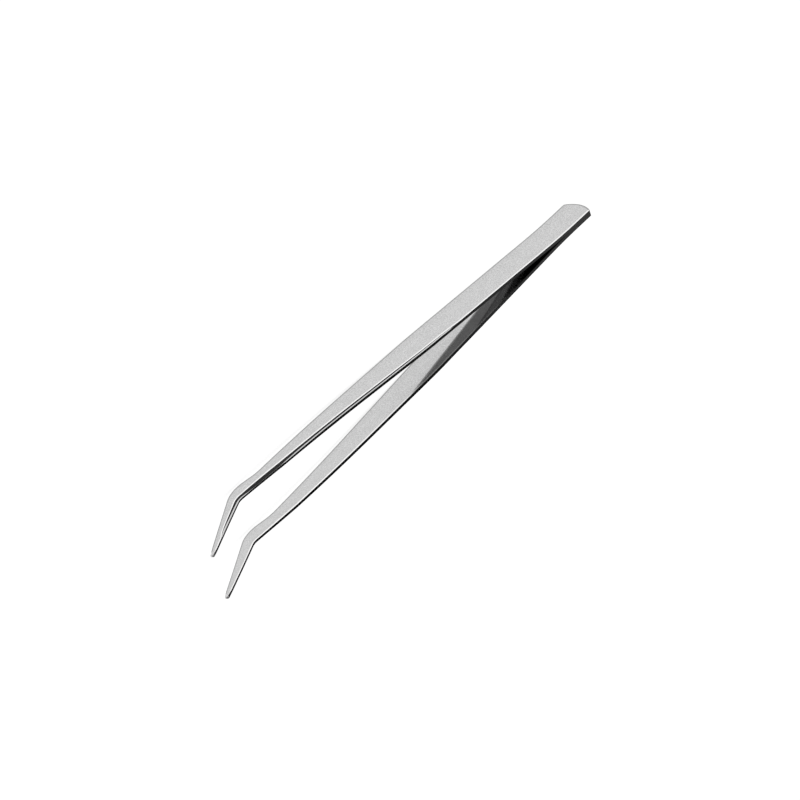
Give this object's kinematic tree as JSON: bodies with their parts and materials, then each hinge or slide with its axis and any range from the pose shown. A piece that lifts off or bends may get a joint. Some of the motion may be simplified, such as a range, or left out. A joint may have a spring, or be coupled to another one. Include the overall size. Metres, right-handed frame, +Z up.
{
  "type": "bent-nose tweezers",
  "caption": "Long steel tweezers: twin tapered spring arms spot-welded at the tail, with fine noses bent upwards and rounded tips.",
  "frame": {"origin": "middle of the length and of the jaw opening, on the plane that the arms' long lower edges rest on", "axes": "+X from the tail towards the tips, +Y from the right arm to the left arm along the jaw opening, +Z up across the width of the strips, the way the nose is bent"},
  "size_m": [0.165, 0.0142, 0.0144],
  "materials": {
    "steel": "fine satin polish, darker sheared edges",
    "weld": "fused, unpolished"
  },
  "bodies": {
    "tail": {"left_arm_root": "steel", "right_arm_root": "steel", "spot_welds": "weld"},
    "left_arm": {"left_arm": "steel"},
    "right_arm": {"right_arm": "steel"}
  },
  "joints": [
    {"name": "left_arm_flex", "type": "hinge", "parent": "tail", "child": "left_arm", "pos_m": [-0.0525, 0.001, 0.0045], "axis": [0, 0, -1], "range_deg": [0, 2.6], "stiffness_Nm_per_rad": 1.55},
    {"name": "right_arm_flex", "type": "hinge", "parent": "tail", "child": "right_arm", "pos_m": [-0.0525, -0.001, 0.0045], "axis": [0, 0, 1], "range_deg": [0, 2.6], "stiffness_Nm_per_rad": 1.55}
  ]
}
